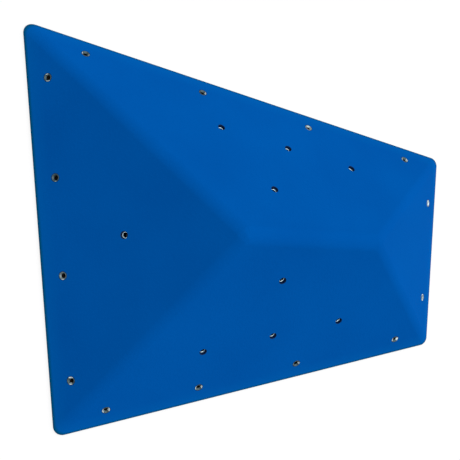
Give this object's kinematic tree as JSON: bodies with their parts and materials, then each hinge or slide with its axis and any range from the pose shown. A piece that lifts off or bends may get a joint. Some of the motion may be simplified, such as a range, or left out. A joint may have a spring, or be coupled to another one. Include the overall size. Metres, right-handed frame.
{
  "type": "climbing volume",
  "caption": "Hollow blue moulded climbing volume, a low hip-roof form with bolt holes for holds in its faces and metal screw bushes along its rim.",
  "frame": {"origin": "on the wall's plane, under the middle of the volume's bounding box", "axes": "+Z out of the wall, +X from the wide end to the narrow end, +Y up as the picture shows it"},
  "size_m": [0.8526, 0.742, 0.2177],
  "materials": {
    "gelcoat_blue": "satin-smooth blue gelcoat on glass-fibre laminate, bare laminate inside",
    "timber": "planed softwood, bonded in with resin",
    "plywood": "birch plywood with a sanded face",
    "bush_steel": "bright turned stainless steel",
    "zinc_steel": "bright zinc plate",
    "screw_steel": "yellow zinc plate"
  },
  "bodies": {
    "root": {"moulded_shell": "gelcoat_blue", "batten_wide": "timber", "batten_lower": "timber", "batten_narrow": "timber", "batten_upper": "timber", "screw_bush_wide_1": "bush_steel", "screw_bush_wide_2": "bush_steel", "screw_bush_wide_3": "bush_steel", "screw_bush_wide_4": "bush_steel", "screw_bush_lower_1": "bush_steel", "screw_bush_lower_2": "bush_steel", "screw_bush_lower_3": "bush_steel", "screw_bush_lower_4": "bush_steel", "screw_bush_narrow_1": "bush_steel", "screw_bush_narrow_2": "bush_steel", "screw_bush_upper_1": "bush_steel", "screw_bush_upper_2": "bush_steel", "screw_bush_upper_3": "bush_steel", "screw_bush_upper_4": "bush_steel", "backing_disc_wide_1": "plywood", "threaded_nut_wide_1": "zinc_steel", "nut_screw_wide_1_1": "screw_steel", "nut_screw_wide_1_2": "screw_steel", "backing_disc_lower_1": "plywood", "threaded_nut_lower_1": "zinc_steel", "nut_screw_lower_1_1": "screw_steel", "nut_screw_lower_1_2": "screw_steel", "backing_disc_lower_2": "plywood", "threaded_nut_lower_2": "zinc_steel", "nut_screw_lower_2_1": "screw_steel", "nut_screw_lower_2_2": "screw_steel", "backing_disc_lower_3": "plywood", "threaded_nut_lower_3": "zinc_steel", "nut_screw_lower_3_1": "screw_steel", "nut_screw_lower_3_2": "screw_steel", "backing_disc_lower_4": "plywood", "threaded_nut_lower_4": "zinc_steel", "nut_screw_lower_4_1": "screw_steel", "nut_screw_lower_4_2": "screw_steel", "backing_disc_upper_1": "plywood", "threaded_nut_upper_1": "zinc_steel", "nut_screw_upper_1_1": "screw_steel", "nut_screw_upper_1_2": "screw_steel", "backing_disc_upper_2": "plywood", "threaded_nut_upper_2": "zinc_steel", "nut_screw_upper_2_1": "screw_steel", "nut_screw_upper_2_2": "screw_steel", "backing_disc_upper_3": "plywood", "threaded_nut_upper_3": "zinc_steel", "nut_screw_upper_3_1": "screw_steel", "nut_screw_upper_3_2": "screw_steel", "backing_disc_upper_4": "plywood", "threaded_nut_upper_4": "zinc_steel", "nut_screw_upper_4_1": "screw_steel", "nut_screw_upper_4_2": "screw_steel"}
  },
  "joints": []
}
